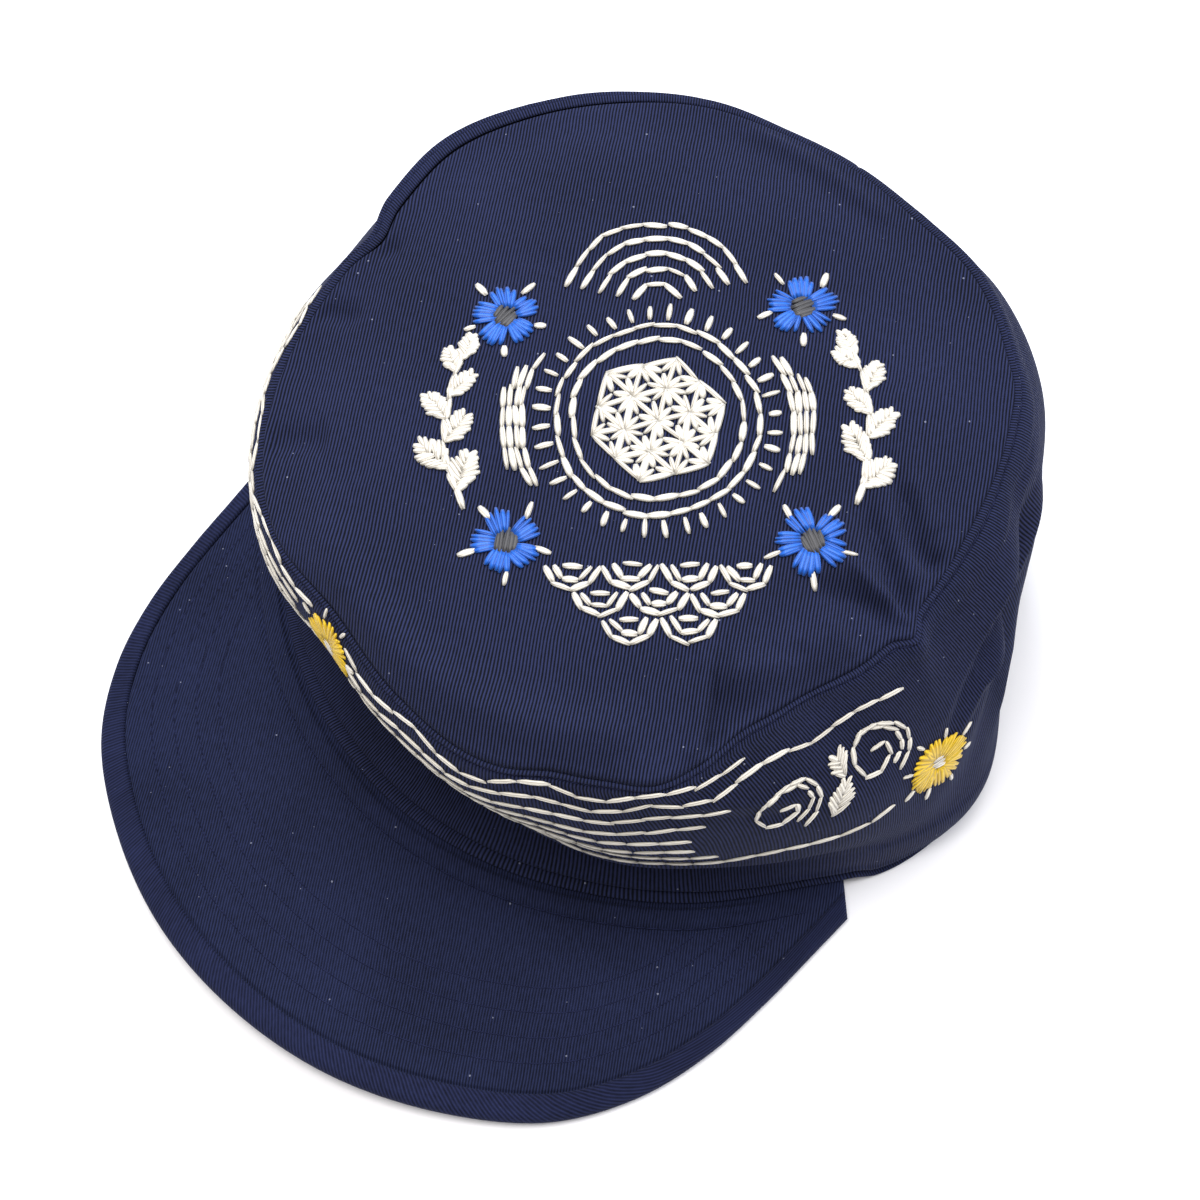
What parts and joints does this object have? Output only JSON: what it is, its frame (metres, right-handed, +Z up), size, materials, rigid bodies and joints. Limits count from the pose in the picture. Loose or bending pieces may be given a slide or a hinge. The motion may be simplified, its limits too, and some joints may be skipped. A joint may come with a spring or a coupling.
{
  "type": "flat-topped army cap with stitched peak",
  "caption": "Soft flat-topped army cap of navy cotton drill with a folded side band, a bound curved peak and hand embroidery, lying on its hem.",
  "frame": {"origin": "centre of the cap's outline on the surface that the hem rests on", "axes": "+Z up; the peak points to -Y; +X is the wearer's left"},
  "size_m": [0.19, 0.2274, 0.0845],
  "materials": {
    "crown_drill": "washed navy cotton drill with a steep twill rib",
    "peak_drill": "navy cotton drill over a stiffener, stitched in rows",
    "binding_drill": "navy bias-cut drill strip",
    "seam_thread": "navy polyester-cotton sewing thread",
    "off_white_floss": "off-white stranded cotton",
    "blue_floss": "bright blue stranded cotton",
    "grey_floss": "dark grey stranded cotton",
    "yellow_floss": "yellow stranded cotton"
  },
  "bodies": {
    "root": {"crown_top": "crown_drill", "side_band": "crown_drill", "peak": "peak_drill", "peak_binding": "binding_drill"}
  },
  "joints": []
}
